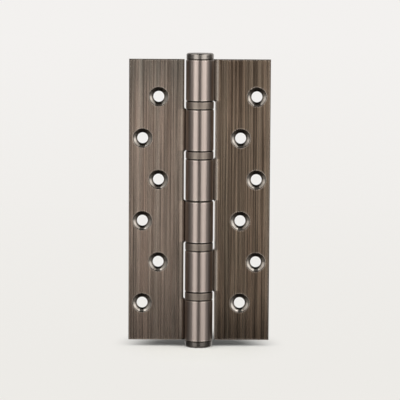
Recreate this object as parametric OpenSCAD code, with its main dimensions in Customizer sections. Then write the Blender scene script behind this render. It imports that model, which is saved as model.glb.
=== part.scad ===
// Ball bearing butt hinge, standing upright and open flat, in millimetres.
// The pin runs along Z through the origin, at the middle of the hinge's height.
// The countersunk faces of the leaves look towards -Y.

/* [Leaves] */
// Height of the leaves, and of the barrel without its tips
leaf_h = 152.4; // [130:0.1:200]
// Width over both leaves when the hinge is open flat
open_w = 76.2; // [72:0.1:130]
// Thickness of the plate that each leaf is cut and rolled from
leaf_t = 3; // [2.6:0.1:3.6]
// Gap between the two leaf faces when the hinge is closed
closed_gap = 2; // [1:0.1:3]
// Clearance between the barrel and the edge of the other leaf
notch_clear = 0.8; // [0.6:0.05:2.5]
// Radius in the inner corners of the notches
notch_corner_r = 1.2; // [0.5:0.1:2]
// Radius of the bend that leads the leaf's face down to the barrel
bend_r = 6.5; // [4:0.1:9]
// Small flats along the outer edges of each leaf
leaf_edge = 0.35; // [0.1:0.05:0.6]

/* [Barrel] */
// Diameter of the pin
pin_d = 9; // [6:0.1:10]
// Radial clearance between the pin and the knuckles
pin_clear = 0.05; // [0.02:0.01:0.1]
// Chamfer at the ends of each knuckle
knuckle_edge = 0.45; // [0.1:0.05:0.7]
// Gap between the two middle knuckles, which have no bearing between them
plain_gap = 0.3; // [0.2:0.05:0.8]
// Fillet behind the leaf, where the plate turns into the barrel
root_fillet_r = 3.5; // [2.5:0.1:4]
// Depth of the crease between the leaf face and the barrel
crease_depth = 1.25; // [0.8:0.05:1.6]
// Width of the seam where the rolled end of the plate meets its root
seam_gap = 0.25; // [0.1:0.05:0.5]

/* [Pin and tips] */
// Height of the button tip at each end of the barrel
tip_h = 3.4; // [2:0.1:6]
// How far each tip lies inside the barrel's surface
tip_inset = 0.2; // [0:0.05:0.5]
// Round on the outer edge of each tip
tip_edge_r = 1.2; // [0.4:0.1:1.8]
// Chamfer on the edge of each tip that meets the knuckle
tip_seat_edge = 0.25; // [0.1:0.05:0.5]
// Length of the plug that each tip has inside its knuckle
tip_plug_l = 4; // [2:0.1:8]
// Radial clearance of the plug in the knuckle
tip_plug_clear = 0.02; // [0.01:0.01:0.05]
// Chamfer at both ends of the pin
pin_edge = 0.5; // [0.2:0.1:1]
// End play of the pin below the top plug
pin_end_play = 0.3; // [0.1:0.1:0.8]

/* [Bearings] */
// Height of a bearing between two knuckles
bearing_h = 4.4; // [4:0.1:6]
// How far the case stops short of the knuckle at each end
case_recess = 0.25; // [0.05:0.05:0.3]
// How far the case lies inside the barrel's surface
case_inset = 0.05; // [0:0.05:0.3]
// Wall of the sheet case
case_wall = 0.45; // [0.3:0.05:0.6]
// Round on the outer edges of the case
case_edge_r = 0.4; // [0.2:0.05:0.9]
// How far the turned-in lips of the case reach over the races
lip_reach = 0.65; // [0.3:0.05:0.8]
// Clearance between the case and the races that it holds
case_clear = 0.02; // [0.01:0.01:0.05]
// Radial clearance between the lips of the case and the races' raised seats
seat_clear = 0.1; // [0.05:0.05:0.2]
// Running clearance between the lower race and the case's lip
lip_clear = 0.1; // [0.05:0.05:0.2]
// Clearance between the pin and the races
race_clear = 0.15; // [0.1:0.05:0.3]
// Diameter of a bearing ball
ball_d = 2; // [1.6:0.1:2.2]
// Clearance between a ball and its tracks
ball_clear = 0.05; // [0.04:0.01:0.08]
// Least gap between neighbouring balls
ball_gap = 0.05; // [0.05:0.05:0.5]
// Depth of the ball track in each race
track_depth = 0.3; // [0.2:0.05:0.4]

/* [Screw holes] */
// Diameter of the screw holes
hole_d = 5.9; // [5:0.1:7]
// Diameter of the countersink at the leaf's face
sink_d = 10.5; // [8:0.1:11.5]
// Full angle of the countersink
sink_angle = 90; // [82:1:100]
// Height from one screw hole to the next
hole_pitch = 22.4; // [16:0.1:26]
// Distance of the outer column of holes from the leaf's outer edge
hole_edge = 7.35; // [6.5:0.05:10]
// Distance between the two columns of holes
hole_stagger = 8.6; // [0:0.1:10]

/* [Hidden] */
$fn = 96;

// Number of screw holes in a leaf
hole_count = 6;
// How far a round runs past its two sides, so that the surfaces cross there instead of only touching
blend = 0.02;
// The same for the wide bend in the leaf's face and the fillet behind it
wide_blend = 0.002;
// How far a cutter reaches past the surface that it opens
over = 1;

half_w = open_w / 2;
pin_r = pin_d / 2;
bore_r = pin_r + pin_clear;
barrel_r = bore_r + leaf_t;
// Radius at the middle of the rolled wall
wall_mid_r = bore_r + leaf_t / 2;
face_y = closed_gap / 2;
back_y = face_y + leaf_t;
notch_x = barrel_r + notch_clear;
// Where the face meets the barrel, as a point and as a turn about the pin
crease_y = face_y + crease_depth;
crease_x = sqrt(barrel_r * barrel_r - crease_y * crease_y);
crease_turn = asin(crease_y / barrel_r);
// Where the bend in the face begins
bend_x = crease_x + sqrt(bend_r * bend_r - (bend_r - crease_depth) * (bend_r - crease_depth));
// Part of the seam's width that lies behind the crease, in the root
seam_in_root = 0.25;
// Turn of the middle of the seam about the pin
seam_turn = crease_turn - asin((0.5 - seam_in_root) * seam_gap / barrel_r);

// Six knuckles, four bearings and the plain gap fill the height
knuckle_l = (leaf_h - 4 * bearing_h - plain_gap) / 6;
// Height of the top of a knuckle in the upper half, counted from the top
function row_top(i) = leaf_h / 2 - i * (knuckle_l + bearing_h);
// Low and high end of each knuckle of the door leaf, from the top down
own_rows = [
    [row_top(0) - knuckle_l, row_top(0)],
    [row_top(2) - knuckle_l, row_top(2)],
    [-row_top(1), -row_top(1) + knuckle_l]
];
// Low and high end of each notch, which holds a knuckle of the other leaf
notch_rows = [
    [own_rows[1][1], own_rows[0][0]],
    [own_rows[2][1], own_rows[1][0]],
    [-leaf_h, own_rows[2][0]]
];
// Height of the middle of each bearing, from the top down
bearing_z = [
    row_top(0) - knuckle_l - bearing_h / 2,
    row_top(1) - knuckle_l - bearing_h / 2,
    -row_top(1) + knuckle_l + bearing_h / 2,
    -row_top(0) + knuckle_l + bearing_h / 2
];

fillet_y = back_y + root_fillet_r - wide_blend;
fillet_dist = barrel_r + root_fillet_r - wide_blend;
fillet_x = sqrt(fillet_dist * fillet_dist - fillet_y * fillet_y);

plug_r = bore_r - tip_plug_clear;
tip_r = barrel_r - tip_inset;

ball_r = ball_d / 2;
case_r = barrel_r - case_inset;
case_in_r = case_r - case_wall;
case_half_h = bearing_h / 2 - case_recess;
lip_in_r = case_in_r - lip_reach;
race_in_r = pin_r + race_clear;
race_r = case_in_r - case_clear;
race_seat_r = lip_in_r - seat_clear;
// Height of a race's inner face above the middle of the bearing
race_face_z = ball_r - track_depth;
ball_track_r = (race_in_r + case_in_r) / 2;
ball_count = floor(180 / asin((ball_r + ball_gap / 2) / ball_track_r));

leaf_color = [0.47, 0.43, 0.38];
tip_color = [0.52, 0.47, 0.41];
case_color = [0.44, 0.40, 0.35];
steel_color = [0.72, 0.72, 0.73];

// What a round of radius r takes off a square corner that lies at the origin
module corner_cut(r) {
    difference() {
        translate([-over, -over])
            square(r + over);
        translate([r, r])
            circle(r + blend);
    }
}

// What lies in front of the leaf's face between the barrel and the flat of the plate
module bend_cut() {
    difference() {
        translate([0, face_y - over])
            square([bend_x, bend_r + over]);
        translate([bend_x, face_y + bend_r])
            circle(bend_r + wide_blend);
    }
}

// Plate of a leaf and its root in the barrel wall, seen from above, with the fillet behind the root
module plate_section() {
    difference() {
        polygon([
            [wall_mid_r * cos(crease_turn), face_y],
            [half_w - leaf_edge, face_y],
            [half_w, face_y + leaf_edge],
            [half_w, back_y - leaf_edge],
            [half_w - leaf_edge, back_y],
            [fillet_x, back_y],
            [fillet_x, fillet_y],
            [fillet_x, fillet_y] * wall_mid_r / fillet_dist
        ]);
        translate([fillet_x, fillet_y])
            circle(root_fillet_r);
        bend_cut();
    }
}

// Outline of a notch in the leaf, seen from the front
module notch_outline(low, high) {
    difference() {
        translate([0, low])
            square([notch_x, high - low]);
        translate([notch_x, low])
            mirror([1, 0])
                corner_cut(notch_corner_r);
        translate([notch_x, high])
            rotate(180)
                corner_cut(notch_corner_r);
    }
}

// Plate and root of a leaf, with its notches cut
module leaf_plate() {
    difference() {
        translate([0, 0, -leaf_h / 2])
            linear_extrude(leaf_h)
                plate_section();
        for (row = notch_rows)
            translate([0, barrel_r + over, 0])
                rotate([90, 0, 0])
                    linear_extrude(barrel_r + 2 * over)
                        notch_outline(row[0], row[1]);
        for (y = [face_y, back_y], z = [-leaf_h / 2, leaf_h / 2])
            translate([notch_x + half_w / 2, y, z])
                rotate([45, 0, 0])
                    cube([half_w, leaf_edge * sqrt(2), leaf_edge * sqrt(2)], center = true);
    }
}

// Rolled knuckle from one height to another
module knuckle(low, high) {
    rotate_extrude()
        polygon([
            [bore_r - over, low],
            [barrel_r - knuckle_edge, low],
            [barrel_r, low + knuckle_edge],
            [barrel_r, high - knuckle_edge],
            [barrel_r - knuckle_edge, high],
            [bore_r - over, high]
        ]);
}

// Countersunk screw hole, with the middle of the leaf's face at the origin
module screw_hole() {
    sink_depth = (sink_d - hole_d) / 2 / tan(sink_angle / 2);
    rotate([-90, 0, 0]) {
        translate([0, 0, -over])
            cylinder(d = hole_d, h = leaf_t + 2 * over);
        cylinder(d1 = sink_d, d2 = hole_d, h = sink_depth);
        translate([0, 0, -over])
            cylinder(d = sink_d, h = over);
    }
}

// Six screw holes, which step from the outer column to the inner one and back
module screw_holes() {
    for (i = [0 : hole_count - 1])
        translate([
            half_w - hole_edge - (i % 2) * hole_stagger,
            face_y,
            ((hole_count - 1) / 2 - i) * hole_pitch
        ])
            screw_hole();
}

// One leaf, as it lies on the door's side
module leaf() {
    difference() {
        union() {
            leaf_plate();
            for (row = own_rows)
                knuckle(row[0], row[1]);
        }
        translate([0, 0, -leaf_h / 2 - over])
            cylinder(r = bore_r, h = leaf_h + 2 * over);
        rotate(seam_turn)
            translate([bore_r - over, -seam_gap / 2, -leaf_h / 2 - over])
                cube([leaf_t + over + seam_gap / 2, seam_gap, leaf_h + 2 * over]);
        screw_holes();
    }
}

module door_leaf() {
    color(leaf_color)
        leaf();
}

// The same leaf turned end for end, so that the knuckles of the two interlock
module frame_leaf() {
    color(leaf_color)
        rotate([0, 180, 0])
            leaf();
}

// Straight pin, which stands on the bottom tip's plug
module pin() {
    low = -leaf_h / 2 + tip_plug_l;
    high = leaf_h / 2 - tip_plug_l - pin_end_play;
    color(steel_color)
        rotate_extrude()
            polygon([
                [0, low],
                [pin_r - pin_edge, low],
                [pin_r, low + pin_edge],
                [pin_r, high - pin_edge],
                [pin_r - pin_edge, high],
                [0, high]
            ]);
}

// Button tip with its plug, as it stands on the top knuckle
module tip() {
    color(tip_color)
        rotate_extrude()
            difference() {
                polygon([
                    [0, -tip_plug_l],
                    [plug_r - tip_seat_edge, -tip_plug_l],
                    [plug_r, -tip_plug_l + tip_seat_edge],
                    [plug_r, 0],
                    [tip_r - tip_seat_edge, 0],
                    [tip_r, tip_seat_edge],
                    [tip_r, tip_h],
                    [0, tip_h]
                ]);
                translate([tip_r, tip_h])
                    rotate(180)
                        corner_cut(tip_edge_r);
            }
}

module top_tip() {
    translate([0, 0, leaf_h / 2])
        tip();
}

module bottom_tip() {
    rotate([0, 180, 0])
        translate([0, 0, leaf_h / 2])
            tip();
}

// Sheet case, with its lips turned in over the races
module bearing_case(z) {
    color(case_color)
        translate([0, 0, z])
            rotate_extrude()
                difference() {
                    translate([lip_in_r, -case_half_h])
                        square([case_r - lip_in_r, 2 * case_half_h]);
                    translate([lip_in_r - over, -case_half_h + case_wall])
                        square([case_in_r - lip_in_r + over, 2 * (case_half_h - case_wall)]);
                    translate([case_r, -case_half_h])
                        mirror([1, 0])
                            corner_cut(case_edge_r);
                    translate([case_r, case_half_h])
                        rotate(180)
                            corner_cut(case_edge_r);
                }
}

// Upper race with its ball track: its rim lies below the lip by the given gap
module race(rim_gap) {
    rim_z = case_half_h - case_wall - rim_gap;
    color(steel_color)
        rotate_extrude()
            difference() {
                polygon([
                    [race_in_r, race_face_z],
                    [race_r, race_face_z],
                    [race_r, rim_z],
                    [race_seat_r, rim_z],
                    [race_seat_r, bearing_h / 2],
                    [race_in_r, bearing_h / 2]
                ]);
                translate([ball_track_r, 0])
                    circle(ball_r + ball_clear);
            }
}

module bearing_top_race(z) {
    translate([0, 0, z])
        race(0);
}

module bearing_bottom_race(z) {
    translate([0, 0, z])
        rotate([180, 0, 0])
            race(lip_clear);
}

// Ring of balls that fills the track, with no cage
module bearing_balls(z) {
    color(steel_color)
        translate([0, 0, z])
            for (i = [0 : ball_count - 1])
                rotate(i * 360 / ball_count)
                    translate([ball_track_r, 0, 0])
                        sphere(ball_r);
}

frame_leaf();
door_leaf();
pin();
top_tip();
bottom_tip();
bearing_case(bearing_z[0]);  // bearing_1_case
bearing_top_race(bearing_z[0]);  // bearing_1_top_race
bearing_bottom_race(bearing_z[0]);  // bearing_1_bottom_race
bearing_balls(bearing_z[0]);  // bearing_1_balls
bearing_case(bearing_z[1]);  // bearing_2_case
bearing_top_race(bearing_z[1]);  // bearing_2_top_race
bearing_bottom_race(bearing_z[1]);  // bearing_2_bottom_race
bearing_balls(bearing_z[1]);  // bearing_2_balls
bearing_case(bearing_z[2]);  // bearing_3_case
bearing_top_race(bearing_z[2]);  // bearing_3_top_race
bearing_bottom_race(bearing_z[2]);  // bearing_3_bottom_race
bearing_balls(bearing_z[2]);  // bearing_3_balls
bearing_case(bearing_z[3]);  // bearing_4_case
bearing_top_race(bearing_z[3]);  // bearing_4_top_race
bearing_bottom_race(bearing_z[3]);  // bearing_4_bottom_race
bearing_balls(bearing_z[3]);  // bearing_4_balls
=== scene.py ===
import bpy
import numpy as np
from mathutils import Matrix, Vector


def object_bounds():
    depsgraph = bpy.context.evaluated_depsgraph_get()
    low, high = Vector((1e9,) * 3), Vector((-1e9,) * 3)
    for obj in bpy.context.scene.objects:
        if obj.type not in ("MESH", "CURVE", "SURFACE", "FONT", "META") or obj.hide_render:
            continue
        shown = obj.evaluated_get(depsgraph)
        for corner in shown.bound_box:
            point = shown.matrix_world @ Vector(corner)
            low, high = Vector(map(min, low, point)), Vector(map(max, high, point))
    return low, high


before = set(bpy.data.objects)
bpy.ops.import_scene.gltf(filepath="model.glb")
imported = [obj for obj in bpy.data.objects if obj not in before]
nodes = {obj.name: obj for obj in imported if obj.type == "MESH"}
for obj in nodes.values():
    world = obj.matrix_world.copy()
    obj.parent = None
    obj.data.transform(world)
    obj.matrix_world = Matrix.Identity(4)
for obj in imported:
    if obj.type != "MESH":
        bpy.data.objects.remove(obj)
cadBox = [list(corner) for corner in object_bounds()]
scene = bpy.context.scene
scene.view_settings.view_transform = "Standard"
mm = 0.001
print("hinge loaded,", len(nodes), "nodes")


# camera

cameraSet = {
    "aim": (0.37 * mm, 0.0, 0.30 * mm),
    "distance": 1.2,
    "azimuth": -0.578,   # minus is towards the frame leaf
    "elevation": 5.8,
    "roll": 0.35,        # the top of the hinge leans to the right
    "lens": 200.0,
    "sensor": 36.0,
    "clip": (0.05, 30),
}


def placeCamera(s):
    # looks along a line turned by azimuth and dropped by elevation, then rolls about that line
    az, el, roll = np.radians([s["azimuth"], s["elevation"], s["roll"]])
    ahead = Vector((-np.sin(az) * np.cos(el), np.cos(az) * np.cos(el), -np.sin(el)))
    right = ahead.cross(Vector((0, 0, 1))).normalized()
    up = right.cross(ahead)
    right, up = right * np.cos(roll) + up * np.sin(roll), up * np.cos(roll) - right * np.sin(roll)
    camera = bpy.data.cameras.new("camera")
    camera.lens, camera.sensor_width = s["lens"], s["sensor"]
    camera.clip_start, camera.clip_end = s["clip"]
    holder = bpy.data.objects.new("camera", camera)
    turn = Matrix((right, up, -ahead)).transposed().to_4x4()
    holder.matrix_world = Matrix.Translation(Vector(s["aim"]) - ahead * s["distance"]) @ turn
    scene.collection.objects.link(holder)
    scene.camera = holder


placeCamera(cameraSet)
print("camera placed")


# small helpers for shader trees

def newMaterial(name):
    material = bpy.data.materials.new(name)
    material.use_nodes = True
    tree = material.node_tree
    tree.nodes.clear()
    out = tree.nodes.new("ShaderNodeOutputMaterial")
    return material, tree, out


def put(tree, kind, inputs=None, **settings):
    # a node with its settings; an input is a plain value or another node's socket
    node = tree.nodes.new("ShaderNode" + kind)
    for key, value in settings.items():
        setattr(node, key, value)
    for key, value in (inputs or {}).items():
        if isinstance(value, bpy.types.NodeSocket):
            tree.links.new(value, node.inputs[key])
        else:
            node.inputs[key].default_value = value
    return node


def streaks(tree, place, across, along, detail, seed):
    # noise on a place squeezed across the brushing and drawn out along it
    spread = put(tree, "Mapping", {"Vector": place, "Location": (seed, seed * 0.7, seed * 1.3),
                                   "Scale": (across, across, along)})
    return put(tree, "TexNoise", {"Vector": spread.outputs[0], "Scale": 1.0, "Detail": detail,
                                  "Roughness": 0.6}).outputs["Fac"]


def spanTo(tree, value, fromLow, fromHigh, toLow, toHigh):
    return put(tree, "MapRange", {"Value": value, "From Min": fromLow, "From Max": fromHigh,
                                  "To Min": toLow, "To Max": toHigh}).outputs["Result"]


def calc(tree, kind, a, b=0.0):
    return put(tree, "Math", {0: a, 1: b}, operation=kind).outputs[0]


def blendColour(tree, factor, a, b, kind="MIX"):
    mix = put(tree, "Mix", {"Factor": factor, 6: a, 7: b}, data_type="RGBA", blend_type=kind)
    return mix.outputs[2]


def edgeMask(tree, radius, low, high):
    # how far the rounded-over normal leans from the true one, so it is 1 on a sharp edge
    rounded = put(tree, "Bevel", {"Radius": radius}, samples=4).outputs[0]
    true = put(tree, "NewGeometry").outputs["Normal"]
    lean = put(tree, "VectorMath", {0: rounded, 1: true}, operation="DOT_PRODUCT").outputs["Value"]
    return spanTo(tree, lean, high, low, 0.0, 1.0)


# bronze of the two leaves: brushed plates, satin knuckles, dark patina left in the recesses, painted light
# and shade

leafSet = {
    "dark": (0.095, 0.074, 0.057, 1),
    "light": (0.320, 0.262, 0.212, 1),
    # the door leaf is darker and browner than the frame leaf
    "tone": {"frame_leaf": (1.16, 1.11, 1.12, 1), "door_leaf": (0.65, 0.59, 0.53, 1)},
    # darker towards the top of the leaf
    "highTone": {"frame_leaf": (0.72, 0.77, 0.79, 1), "door_leaf": (0.76, 0.76, 0.76, 1)},
    "highZ": (44.0 * mm, 70.0 * mm),
    # painted shade: darker towards the bottom of the leaf
    "lowShade": {"frame_leaf": 0.68, "door_leaf": 0.72},
    "lowZ": {"frame_leaf": (-18.0 * mm, -76.0 * mm), "door_leaf": (-52.0 * mm, -72.0 * mm)},
    "rimTone": {"frame_leaf": 0.84, "door_leaf": 1.0},
    "rimX": (28.0 * mm, 38.0 * mm),
    "contrast": {"frame_leaf": (0.375, 0.625), "door_leaf": (0.452, 0.572)},
    "lineDepth": {"frame_leaf": 0.30, "door_leaf": 0.50},
    # streaks: how many a metre across and along the brushing, detail and seed
    "broad": {"frame_leaf": (270, 3, 3.0, 3.1), "door_leaf": (560, 3, 3.0, 3.1)},
    "middle": (1350, 5, 2.0, 9.4),
    "fine": (3300, 18, 3.0, 7.7),
    "cloud": (45, 22, 3.0, 1.9),
    "tint": (300, 5, 2.0, 5.3),
    "grain": (0.27, 0.46, 0.27),             # shares of the broad, middle and fine ones
    "cloudTone": (0.84, 1.14),
    "warm": (1.04, 0.99, 0.96, 1),
    "cool": (0.97, 1.005, 1.0, 1),
    "scratch": (0.040, 0.030, 0.023, 1),
    "patinaAndShade": (0.045, 0.036, 0.029, 1),
    "wornAndGlint": (0.46, 0.39, 0.33, 1),
    "paintedHalo": (0.46, 0.40, 0.35, 1),           # painted highlight: a light line round each countersink and at the knuckle ends
    "haloShare": (0.60, 0.95),
    "wornAndGlintEdge": (0.40 * mm, 0.93, 0.99),     # radius of the edge and how far its normal leans
    "haloEdge": (1.1 * mm, 0.94, 0.995),
    "barrelDark": (0.232, 0.190, 0.166, 1),
    "barrelLight": (0.296, 0.246, 0.219, 1),
    "barrelEdge": (7.60 * mm, 7.75 * mm),    # the satin ends between these distances from the pin's axis
    "creaseEdge": (7.9 * mm, 8.2 * mm),      # the patina of the crease thins out here
    # knuckles of each leaf, low and high end; its notches lie between
    "ownRows": {"frame_leaf": ((-76.2 * mm, -53.8 * mm), (-22.6 * mm, -0.1 * mm), (27.0 * mm, 49.4 * mm)),
                "door_leaf": ((53.8 * mm, 76.2 * mm), (0.1 * mm, 22.6 * mm), (-49.4 * mm, -27.0 * mm))},
    # painted light and shade on the bend, beside the knuckles (1) or the notches (0): colour, share, from and
    # to what radius; the pale bands are painted highlights, the dark ones painted shade
    "bendLightAndShade": {
        "frame_leaf": (
            (1, (0.110, 0.100, 0.084, 1), 0.35, (8.15 * mm, 8.5 * mm), (9.8 * mm, 11.0 * mm)),
            (0, (0.070, 0.062, 0.050, 1), 0.70, (8.0 * mm, 8.2 * mm), (9.6 * mm, 12.4 * mm))),
        "door_leaf": (
            (1, (0.270, 0.246, 0.218, 1), 0.80, (7.85 * mm, 8.15 * mm), (9.2 * mm, 10.5 * mm)),
            (0, (0.045, 0.036, 0.029, 1), 0.60, (8.0 * mm, 8.2 * mm), (10.4 * mm, 11.8 * mm)),
            (0, (0.560, 0.520, 0.480, 1), 0.80, (8.0 * mm, 8.2 * mm), (8.8 * mm, 9.3 * mm))),
    },
    "sinkX": (12.0 * mm, 37.6 * mm),         # the screw holes lie between these
    "sinkZ": 75.6 * mm,
    "sinkBright": (0.60, 0.55, 0.49, 1),     # cut metal of a countersink
    "sinkUpperShade": 0.97,                      # painted shade on its upper part
    "sinkSide": {"frame_leaf": 0.72, "door_leaf": 0.35},     # and painted shade on its right side
    "sinkRough": (0.15, 0.42),               # at its top and bottom, and at its sides
    "sinkRim": (1.30 * mm, 1.60 * mm),       # dark line under the rim, and at the foot of the cone
    "sinkFoot": (2.40 * mm, 2.65 * mm),
    "endPatinaAndShade": (0.85, 0.60),               # patina on the lower and the upper edges of the knuckles, heavier on the lower ones as painted shade
    "creasePatina": 0.8,
    "plateRough": (0.22, 0.30),
    "barrelRough": (0.33, 0.40),
    "bump": (0.20, 0.03),                    # depth of the brushing on the plate and on the knuckles
}


def makeLeafBronze(s, leaf):
    material, tree, out = newMaterial("leafBronze_" + leaf)
    spot = put(tree, "TexCoord")
    place = spot.outputs["Object"]
    xyz = put(tree, "SeparateXYZ", {0: place}).outputs
    facing = put(tree, "SeparateXYZ", {0: spot.outputs["Normal"]}).outputs
    flat = put(tree, "CombineXYZ", {"X": xyz[0], "Y": xyz[1]}).outputs[0]
    radius = put(tree, "VectorMath", {0: flat}, operation="LENGTH").outputs["Value"]
    barrel = spanTo(tree, radius, *s["barrelEdge"], 1.0, 0.0)

    broad = streaks(tree, place, *s["broad"][leaf])
    middle = streaks(tree, place, *s["middle"])
    fine = streaks(tree, place, *s["fine"])
    cloud = streaks(tree, place, *s["cloud"])
    tint = streaks(tree, place, *s["tint"])

    grain = calc(tree, "ADD", calc(tree, "MULTIPLY", broad, s["grain"][0]),
                 calc(tree, "MULTIPLY", middle, s["grain"][1]))
    grain = calc(tree, "ADD", grain, calc(tree, "MULTIPLY", fine, s["grain"][2]))
    plate = blendColour(tree, spanTo(tree, grain, *s["contrast"][leaf], 0.0, 1.0), s["dark"], s["light"])
    hue = blendColour(tree, spanTo(tree, tint, 0.35, 0.65, 0.0, 1.0), s["warm"], s["cool"])
    plate = blendColour(tree, 1.0, plate, hue, "MULTIPLY")
    plate = blendColour(tree, 1.0, plate, s["tone"][leaf], "MULTIPLY")
    side = calc(tree, "ABSOLUTE", xyz[0])
    upDown = calc(tree, "ABSOLUTE", xyz[2])
    upper = blendColour(tree, spanTo(tree, xyz[2], *s["highZ"], 0.0, 1.0), (1, 1, 1, 1), s["highTone"][leaf])
    plate = blendColour(tree, 1.0, plate, upper, "MULTIPLY")
    # cloudy tarnish, painted shade towards the bottom, and a darker outer rim
    tarnishAndShade = calc(tree, "MULTIPLY", spanTo(tree, cloud, 0.3, 0.7, *s["cloudTone"]),
                   spanTo(tree, xyz[2], *s["lowZ"][leaf], 1.0, s["lowShade"][leaf]))
    tarnishAndShade = calc(tree, "MULTIPLY", tarnishAndShade, spanTo(tree, side, *s["rimX"], 1.0, s["rimTone"][leaf]))
    plate = blendColour(tree, 1.0, plate, tarnishAndShade, "MULTIPLY")
    lines = calc(tree, "MULTIPLY", spanTo(tree, middle, 0.58, 0.66, 0.0, s["lineDepth"][leaf]),
                 spanTo(tree, fine, 0.40, 0.60, 0.3, 1.0))
    plate = blendColour(tree, lines, plate, s["scratch"])
    satin = blendColour(tree, spanTo(tree, fine, 0.35, 0.65, 0.0, 1.0), s["barrelDark"], s["barrelLight"])
    own = 0.0
    for low, high in s["ownRows"][leaf]:
        own = calc(tree, "ADD", own, calc(tree, "MULTIPLY", calc(tree, "GREATER_THAN", xyz[2], low),
                                          calc(tree, "LESS_THAN", xyz[2], high)))
    # painted highlights and painted shade along the bend
    for beside, tone, share, start, end in s["bendLightAndShade"][leaf]:
        rows = own if beside else calc(tree, "SUBTRACT", 1.0, own)
        paintedBand = calc(tree, "MULTIPLY", spanTo(tree, radius, *start, 0.0, share),
                    spanTo(tree, radius, *end, 1.0, 0.0))
        plate = blendColour(tree, calc(tree, "MULTIPLY", paintedBand, rows), plate, tone)
    colour = blendColour(tree, barrel, plate, satin)

    # the brushing misses the countersinks, the hole walls, the crease and the edges of the knuckles
    tilted = spanTo(tree, calc(tree, "ABSOLUTE", facing[1]), 0.86, 0.80, 0.0, 1.0)
    inPlate = calc(tree, "MULTIPLY", calc(tree, "GREATER_THAN", side, s["sinkX"][0]),
                   calc(tree, "LESS_THAN", side, s["sinkX"][1]))
    inPlate = calc(tree, "MULTIPLY", inPlate, calc(tree, "LESS_THAN", upDown, s["sinkZ"]))
    cut = calc(tree, "MULTIPLY", tilted, inPlate)
    colour = blendColour(tree, cut, colour, s["sinkBright"])
    # dark lines at the rim and the foot of each countersink, and painted shade on its upper part and its
    # right side
    grimeAndShade = calc(tree, "MAXIMUM", spanTo(tree, xyz[1], *s["sinkRim"], 0.9, 0.0),
                 spanTo(tree, xyz[1], *s["sinkFoot"], 0.0, 0.9))
    grimeAndShade = calc(tree, "MAXIMUM", grimeAndShade, spanTo(tree, facing[2], -0.05, -0.45, 0.0, s["sinkUpperShade"]))
    grimeAndShade = calc(tree, "MAXIMUM", grimeAndShade, spanTo(tree, facing[0], -0.25, -0.60, 0.0, s["sinkSide"][leaf]))
    sink = calc(tree, "MULTIPLY", cut, grimeAndShade)
    crease = calc(tree, "MULTIPLY", spanTo(tree, radius, *s["creaseEdge"], 1.0, 0.0),
                  calc(tree, "SUBTRACT", 1.0, barrel))
    # patina on the knuckle ends, heavier on the downward ones as painted shade
    under = calc(tree, "MAXIMUM", spanTo(tree, facing[2], -0.3, -0.6, 0.0, s["endPatinaAndShade"][0]),
                 spanTo(tree, facing[2], 0.3, 0.6, 0.0, s["endPatinaAndShade"][1]))
    under = calc(tree, "MULTIPLY", under, barrel)
    # patina in the countersinks, the crease and at the knuckle ends, together with their painted shade
    recessAndShade = calc(tree, "MAXIMUM", calc(tree, "MAXIMUM", sink, under),
                  calc(tree, "MULTIPLY", crease, s["creasePatina"]))
    colour = blendColour(tree, recessAndShade, colour, s["patinaAndShade"])
    # lighter worn edges, which also serve as a painted highlight along them
    wornAndGlint = calc(tree, "MULTIPLY", edgeMask(tree, *s["wornAndGlintEdge"]), calc(tree, "ADD", broad, 0.15))
    colour = blendColour(tree, wornAndGlint, colour, s["wornAndGlint"])
    # painted highlights: a light line round each countersink and at the knuckle ends
    upright = spanTo(tree, calc(tree, "ABSOLUTE", facing[2]), 0.15, 0.30, 1.0, 0.0)
    around = calc(tree, "MULTIPLY", calc(tree, "MULTIPLY", inPlate, calc(tree, "SUBTRACT", 1.0, tilted)),
                  s["haloShare"][0])
    atEnds = calc(tree, "MULTIPLY", calc(tree, "MULTIPLY", barrel, upright), s["haloShare"][1])
    paintedHalo = calc(tree, "MULTIPLY", edgeMask(tree, *s["haloEdge"]), calc(tree, "MAXIMUM", around, atEnds))
    colour = blendColour(tree, paintedHalo, colour, s["paintedHalo"])

    plateRough = spanTo(tree, fine, 0.3, 0.7, *s["plateRough"])
    barrelRough = spanTo(tree, fine, 0.3, 0.7, *s["barrelRough"])
    rough = put(tree, "Mix", {"Factor": barrel, 2: plateRough, 3: barrelRough}, data_type="FLOAT").outputs[0]
    sinkRough = spanTo(tree, calc(tree, "ABSOLUTE", facing[0]), 0.25, 0.60, *s["sinkRough"])
    rough = put(tree, "Mix", {"Factor": cut, 2: rough, 3: sinkRough}, data_type="FLOAT").outputs[0]

    # brushed up and down, so gloss spreads sideways on the plates; turned knuckles spread it up and down
    lay = put(tree, "Mix", {"Factor": barrel, 4: (1, 0, 0), 5: (0, 0, 1)}, data_type="VECTOR").outputs[1]
    grainWay = put(tree, "VectorTransform", {0: lay}, vector_type="VECTOR",
                   convert_from="OBJECT", convert_to="WORLD").outputs[0]
    depth = spanTo(tree, barrel, 0.0, 1.0, *s["bump"])
    bump = put(tree, "Bump", {"Height": grain, "Strength": depth, "Distance": 0.03 * mm}).outputs[0]
    skin = put(tree, "BsdfPrincipled", {"Base Color": colour, "Metallic": 1.0, "Roughness": rough,
                                        "Anisotropic": 0.8, "Tangent": grainWay, "Normal": bump,
                                        "Coat Weight": 0.08, "Coat Roughness": 0.25})
    tree.links.new(skin.outputs[0], out.inputs[0])
    return material


# bronze of the tips: turned, with fine rings

tipSet = {
    "dark": (0.150, 0.134, 0.119, 1),
    "light": (0.240, 0.218, 0.196, 1),
    "wornAndGlint": (0.46, 0.42, 0.38, 1),
    "wornAndGlintEdge": (0.3 * mm, 0.90, 0.985),     # radius of the edge and how far its normal leans
    "wornAndGlintShare": 0.5,
    "patinaAndShade": (0.040, 0.032, 0.026, 1),
    "rings": 6000.0,                         # turning marks a metre
    "cloud": (180, 180, 3.0, 2.3),
    "lowTipShade": 0.62,                       # painted shade on the lower tip
    "foot": (76.45 * mm, 76.7 * mm),         # a dark line stays up to here, where a tip meets its knuckle
    "rough": (0.24, 0.32),
}


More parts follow.
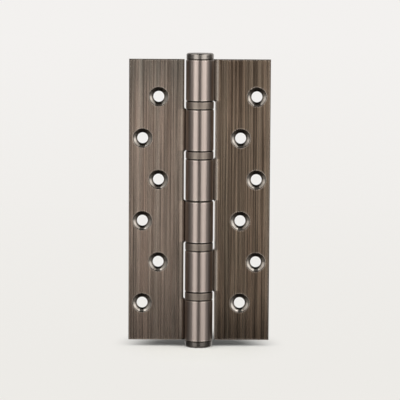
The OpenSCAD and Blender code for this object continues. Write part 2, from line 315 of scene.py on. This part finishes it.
def makeTipBronze(s):
    material, tree, out = newMaterial("tipBronze")
    place = put(tree, "TexCoord").outputs["Object"]
    xyz = put(tree, "SeparateXYZ", {0: place})
    flat = put(tree, "CombineXYZ", {"X": xyz.outputs[0], "Y": xyz.outputs[1]}).outputs[0]
    radius = put(tree, "VectorMath", {0: flat}, operation="LENGTH").outputs["Value"]
    # rings run with the radius on the flat and with the height on the side
    ringPlace = put(tree, "CombineXYZ", {"X": radius, "Y": xyz.outputs[2], "Z": 0.0}).outputs[0]
    rings = put(tree, "TexNoise", {"Vector": ringPlace, "Scale": s["rings"], "Detail": 3.0}).outputs["Fac"]
    cloud = streaks(tree, place, *s["cloud"])
    tone = calc(tree, "ADD", calc(tree, "MULTIPLY", rings, 0.5), calc(tree, "MULTIPLY", cloud, 0.5))
    colour = blendColour(tree, spanTo(tree, tone, 0.35, 0.65, 0.0, 1.0), s["dark"], s["light"])
    colour = blendColour(tree, calc(tree, "MULTIPLY", edgeMask(tree, *s["wornAndGlintEdge"]), s["wornAndGlintShare"]),
                         colour, s["wornAndGlint"])
    upDown = calc(tree, "ABSOLUTE", xyz.outputs[2])
    # a dark line where a tip meets its knuckle, and painted shade on the lower tip
    grimeAndShade = calc(tree, "MAXIMUM", spanTo(tree, upDown, *s["foot"], 0.85, 0.0),
                 spanTo(tree, xyz.outputs[2], -1 * mm, 1 * mm, s["lowTipShade"], 0.0))
    colour = blendColour(tree, grimeAndShade, colour, s["patinaAndShade"])
    rough = spanTo(tree, rings, 0.3, 0.7, *s["rough"])
    bump = put(tree, "Bump", {"Height": rings, "Strength": 0.08, "Distance": 0.02 * mm}).outputs[0]
    skin = put(tree, "BsdfPrincipled", {"Base Color": colour, "Metallic": 1.0, "Roughness": rough,
                                        "Normal": bump, "Coat Weight": 0.12, "Coat Roughness": 0.25})
    tree.links.new(skin.outputs[0], out.inputs[0])
    return material


# bronze of the bearing cases: drawn sheet, duller than the knuckles

caseSet = {
    "dark": (0.145, 0.119, 0.098, 1),
    "light": (0.205, 0.172, 0.144, 1),
    # lighter rounded edges of the case: wear, and a painted highlight where they catch the light
    "wornAndGlint": (0.46, 0.39, 0.33, 1),
    "wornAndGlintEdge": (0.80 * mm, 0.90, 0.99),
    "wornAndGlintShare": 0.7,
    "speck": (2600, 2600, 3.0, 4.1),
    "drawn": (900, 120, 3.0, 8.3),
    "patinaAndShade": (0.040, 0.032, 0.026, 1),
    "lips": (0.30, 0.60, 0.0, 0.92),         # it comes in where the case turns to its lips
    "rough": (0.40, 0.50),
}


def makeCaseBronze(s):
    material, tree, out = newMaterial("caseBronze")
    spot = put(tree, "TexCoord")
    place = spot.outputs["Object"]
    speck = streaks(tree, place, *s["speck"])
    drawn = streaks(tree, place, *s["drawn"])
    tone = calc(tree, "ADD", calc(tree, "MULTIPLY", speck, 0.5), calc(tree, "MULTIPLY", drawn, 0.5))
    colour = blendColour(tree, spanTo(tree, tone, 0.35, 0.65, 0.0, 1.0), s["dark"], s["light"])
    # lighter edges: wear and a painted highlight
    colour = blendColour(tree, calc(tree, "MULTIPLY", edgeMask(tree, *s["wornAndGlintEdge"]), s["wornAndGlintShare"]),
                         colour, s["wornAndGlint"])
    turned = calc(tree, "ABSOLUTE", put(tree, "SeparateXYZ", {0: spot.outputs["Normal"]}).outputs[2])
    colour = blendColour(tree, spanTo(tree, turned, *s["lips"]), colour, s["patinaAndShade"])
    rough = spanTo(tree, speck, 0.3, 0.7, *s["rough"])
    bump = put(tree, "Bump", {"Height": speck, "Strength": 0.12, "Distance": 0.02 * mm}).outputs[0]
    skin = put(tree, "BsdfPrincipled", {"Base Color": colour, "Metallic": 1.0, "Roughness": rough,
                                        "Normal": bump, "Coat Weight": 0.1, "Coat Roughness": 0.3})
    tree.links.new(skin.outputs[0], out.inputs[0])
    return material


# steel inside: ground pin, polished races and balls

pinSet = {"dark": (0.40, 0.39, 0.37, 1), "light": (0.56, 0.55, 0.53, 1), "rough": (0.24, 0.36),
          "grind": (2400, 2400, 4.0, 6.2)}
raceSet = {"dark": (0.50, 0.49, 0.47, 1), "light": (0.62, 0.61, 0.59, 1), "rough": (0.16, 0.28),
           "grind": (1500, 1500, 4.0, 6.2),
           "film": (0.030, 0.024, 0.018, 1), "filmEdge": (5.6 * mm, 6.1 * mm)}    # old oil at the rim
ballSet = {"dark": (0.54, 0.53, 0.52, 1), "light": (0.68, 0.67, 0.66, 1), "rough": (0.10, 0.18),
           "grind": (1500, 1500, 4.0, 6.2)}


def makeSteel(name, s):
    material, tree, out = newMaterial(name)
    place = put(tree, "TexCoord").outputs["Object"]
    grind = streaks(tree, place, *s["grind"])
    colour = blendColour(tree, spanTo(tree, grind, 0.35, 0.65, 0.0, 1.0), s["dark"], s["light"])
    if "film" in s:
        xyz = put(tree, "SeparateXYZ", {0: place})
        flat = put(tree, "CombineXYZ", {"X": xyz.outputs[0], "Y": xyz.outputs[1]}).outputs[0]
        radius = put(tree, "VectorMath", {0: flat}, operation="LENGTH").outputs["Value"]
        colour = blendColour(tree, spanTo(tree, radius, *s["filmEdge"], 0.0, 0.9), colour, s["film"])
    rough = spanTo(tree, grind, 0.3, 0.7, *s["rough"])
    bump = put(tree, "Bump", {"Height": grind, "Strength": 0.06, "Distance": 0.01 * mm}).outputs[0]
    skin = put(tree, "BsdfPrincipled", {"Base Color": colour, "Metallic": 1.0, "Roughness": rough,
                                        "Normal": bump})
    tree.links.new(skin.outputs[0], out.inputs[0])
    return material


def dress(material, names):
    for name in names:
        slots = nodes[name].data.materials
        slots.clear()
        slots.append(material)


bearings = range(1, 5)
for leaf in ("frame_leaf", "door_leaf"):
    dress(makeLeafBronze(leafSet, leaf), [leaf])
dress(makeTipBronze(tipSet), ["top_tip", "bottom_tip"])
dress(makeCaseBronze(caseSet), [f"bearing_{i}_case" for i in bearings])
dress(makeSteel("pinSteel", pinSet), ["pin"])
dress(makeSteel("raceSteel", raceSet),
      [f"bearing_{i}_{part}_race" for i in bearings for part in ("top", "bottom")])
dress(makeSteel("ballSteel", ballSet), [f"bearing_{i}_balls" for i in bearings])
print("finishes on all nodes")


# floor, lights and pale surroundings

paleSet = {
    "high": (0.896, 0.880, 0.863, 1),     # the pale surroundings, high up
    "low": (0.847, 0.831, 0.799, 1),      # and low down
}

floorSet = {
    "radius": 0.75,
    "seen": (43.0 * mm, 62.0 * mm),       # half axes of the part of the sheet that shows under the hinge
    "fade": (0.50, 1.15),                 # it pales into the surroundings between these parts of them
    "pale": 0.998,                        # at most by this share
    "back": (-0.06, 0.75, 0.49),          # and is a touch lighter from here to there, by this share of high
    "colour": (0.842, 0.836, 0.797, 1),
    "contactShadow": (0.42, 0.425, 0.42, 1),      # painted contact shadow: colour where the hinge stands closest, within this distance
    "closeIn": 60.0 * mm,
    "closeShare": (0.97, 0.80),           # comes in between these shares of open sky
    "closeFrom": (-1.0 * mm, 5.0 * mm),   # and behind these depths, as the lamps stand in front
    "rings": 60,
    "spokes": 96,
}


def discSurface(name, radius, height, rings, spokes):
    # radius times u, turned by v round the upright axis, all at one height
    u, v = np.meshgrid(np.linspace(0, 1, rings + 1)[1:], np.linspace(0, 2 * np.pi, spokes, endpoint=False),
                       indexing="ij")
    points = np.stack([radius * u * np.cos(v), radius * u * np.sin(v), np.full_like(u, height)], -1)
    points = np.vstack([[[0, 0, height]], points.reshape(-1, 3)])
    ring, spoke = np.meshgrid(np.arange(rings - 1), np.arange(spokes), indexing="ij")
    nextSpoke = (spoke + 1) % spokes
    quads = np.stack([ring * spokes + spoke, (ring + 1) * spokes + spoke,
                      (ring + 1) * spokes + nextSpoke, ring * spokes + nextSpoke], -1).reshape(-1, 4) + 1
    middle = np.stack([np.zeros(spokes, int), np.arange(spokes) + 1,
                       (np.arange(spokes) + 1) % spokes + 1], -1)
    mesh = bpy.data.meshes.new(name)
    mesh.from_pydata(points.tolist(), [], quads.tolist() + middle.tolist())
    sheet = bpy.data.objects.new(name, mesh)
    scene.collection.objects.link(sheet)
    return sheet


def makeFloor(s):
    floor = discSurface("floor", s["radius"], cadBox[0][2], s["rings"], s["spokes"])
    material, tree, out = newMaterial("palePaper")
    place = put(tree, "TexCoord").outputs["Object"]
    wide, deep = s["seen"]
    oval = put(tree, "Mapping", {"Vector": place, "Scale": (1 / wide, 1 / deep, 0)}).outputs[0]
    far = put(tree, "VectorMath", {0: oval}, operation="LENGTH").outputs["Value"]
    fade = put(tree, "MapRange", {"Value": far, "From Min": s["fade"][0], "From Max": s["fade"][1],
                                  "To Max": s["pale"]}, interpolation_type="SMOOTHSTEP").outputs["Result"]
    # painted contact shadow, from how much open sky each point of the sheet sees within that distance
    sky = put(tree, "AmbientOcclusion", {"Distance": s["closeIn"]}, samples=8).outputs["AO"]
    depth = put(tree, "SeparateXYZ", {0: place}).outputs[1]
    contactShare = calc(tree, "MULTIPLY", spanTo(tree, sky, *s["closeShare"], 0.0, 1.0),
                spanTo(tree, depth, *s["closeFrom"], 0.0, 1.0))
    paper = put(tree, "BsdfDiffuse", {"Color": blendColour(tree, contactShare, s["colour"], s["contactShadow"])}).outputs[0]
    front, back, share = s["back"]
    climb = spanTo(tree, depth, front, back, 0.0, share)
    colour = blendColour(tree, climb, paleSet["low"], paleSet["high"])
    pale = put(tree, "Emission", {"Color": colour}).outputs[0]
    mix = put(tree, "MixShader", {0: fade, 1: paper, 2: pale}).outputs[0]
    tree.links.new(mix, out.inputs[0])
    floor.data.materials.append(material)
    floor.visible_glossy = False


worldSet = {
    "heights": (-0.17, -0.03),            # from low to high between these slopes
    "fill": (0.03, 0.0297, 0.0294, 1),    # for soft light, which the lamps give most of
}


def makeWorld(s):
    world = bpy.data.worlds.new("studio")
    scene.world = world
    world.use_nodes = True
    tree = world.node_tree
    tree.nodes.clear()
    rays = put(tree, "LightPath").outputs
    seen = calc(tree, "MAXIMUM", calc(tree, "MAXIMUM", rays["Is Camera Ray"], rays["Is Glossy Ray"]),
                rays["Is Transmission Ray"])
    fill = put(tree, "Background", {"Color": s["fill"]}).outputs[0]
    way = put(tree, "SeparateXYZ", {0: put(tree, "TexCoord").outputs["Generated"]}).outputs
    climb = spanTo(tree, way[2], *s["heights"], 0.0, 1.0)
    colour = blendColour(tree, climb, paleSet["low"], paleSet["high"])
    pale = put(tree, "Background", {"Color": colour}).outputs[0]
    mix = put(tree, "MixShader", {0: seen, 1: fill, 2: pale}).outputs[0]
    put(tree, "OutputWorld", {0: mix})


# azimuth and elevation of the middle as seen from the hinge, distance, width, height, and watts
lightSet = {
    "softLeft": {"azimuth": -34.3, "elevation": 12.5, "distance": 0.563, "size": (0.385, 0.64), "watts": 2.4},
    "frontDim": {"azimuth": -2, "elevation": 0, "distance": 0.8, "size": (0.34, 0.90), "watts": 0.22},
    "softRight": {"azimuth": 34.7, "elevation": 12.5, "distance": 0.666, "size": (0.554, 0.68),
                  "watts": 3.67},
    "sideLeft": {"azimuth": -68, "elevation": 0, "distance": 0.70, "size": (0.32, 0.80), "watts": 0.35},
    "sideRight": {"azimuth": 72, "elevation": 0, "distance": 0.75, "size": (0.25, 0.80), "watts": 0.3},
    "highLeft": {"azimuth": -61, "elevation": 44, "distance": 0.7, "size": (0.62, 0.66), "watts": 1.95},
    "highRight": {"azimuth": 61, "elevation": 44, "distance": 0.7, "size": (0.62, 0.66), "watts": 2.3},
}


def placeLight(name, s):
    az, el = np.radians([s["azimuth"], s["elevation"]])
    towards = Vector((np.sin(az) * np.cos(el), -np.cos(az) * np.cos(el), np.sin(el)))
    lamp = bpy.data.lights.new(name, "AREA")
    lamp.shape = "RECTANGLE"
    lamp.size, lamp.size_y = s["size"]
    lamp.energy = s["watts"]
    holder = bpy.data.objects.new(name, lamp)
    holder.matrix_world = Matrix.Translation(towards * s["distance"]) @ \
        towards.to_track_quat("Z", "Y").to_matrix().to_4x4()
    holder.visible_camera = False
    scene.collection.objects.link(holder)


tentSet = {
    "radius": 1.35,
    "colour": (0.06, 0.058, 0.055, 1),
    "azimuth": (-140, 114),         # how far round the front it reaches
    "elevation": (-50, 89),
    "steps": (48, 30),
    "glow": 0.14,                   # faint light of its two ends and its foot
    "glowEnds": (-0.35, -0.05),     # where that comes in towards the back, as parts of the radius
    "glowFoot": (-0.30, -0.55),     # and downwards
}


def makeTent(s):
    # a dark round wall in front, behind the lamps: radius towards azimuth u and elevation v
    u, v = np.meshgrid(np.radians(np.linspace(*s["azimuth"], s["steps"][0] + 1)),
                       np.radians(np.linspace(*s["elevation"], s["steps"][1] + 1)), indexing="ij")
    points = s["radius"] * np.stack([np.sin(u) * np.cos(v), -np.cos(u) * np.cos(v), np.sin(v)], -1)
    rows, columns = u.shape
    row, column = np.meshgrid(np.arange(rows - 1), np.arange(columns - 1), indexing="ij")
    corner = row * columns + column
    quads = np.stack([corner, corner + columns, corner + columns + 1, corner + 1], -1).reshape(-1, 4)
    mesh = bpy.data.meshes.new("darkTent")
    mesh.from_pydata(points.reshape(-1, 3).tolist(), [], quads.tolist())
    tent = bpy.data.objects.new("darkTent", mesh)
    tent.visible_camera = False
    scene.collection.objects.link(tent)
    material, tree, out = newMaterial("darkFelt")
    xyz = put(tree, "SeparateXYZ", {0: put(tree, "TexCoord").outputs["Object"]}).outputs
    ends = spanTo(tree, xyz[1], *np.multiply(s["glowEnds"], s["radius"]), 0.0, s["glow"])
    foot = spanTo(tree, xyz[2], *np.multiply(s["glowFoot"], s["radius"]), 0.0, s["glow"])
    glow = calc(tree, "MAXIMUM", ends, foot)
    felt = put(tree, "BsdfDiffuse", {"Color": s["colour"]}).outputs[0]
    light = put(tree, "Emission", {"Strength": glow}).outputs[0]
    tree.links.new(put(tree, "AddShader", {0: felt, 1: light}).outputs[0], out.inputs[0])
    mesh.materials.append(material)


makeFloor(floorSet)
makeWorld(worldSet)
for lightName, oneLight in lightSet.items():
    placeLight(lightName, oneLight)
makeTent(tentSet)
print("floor and lights in place")
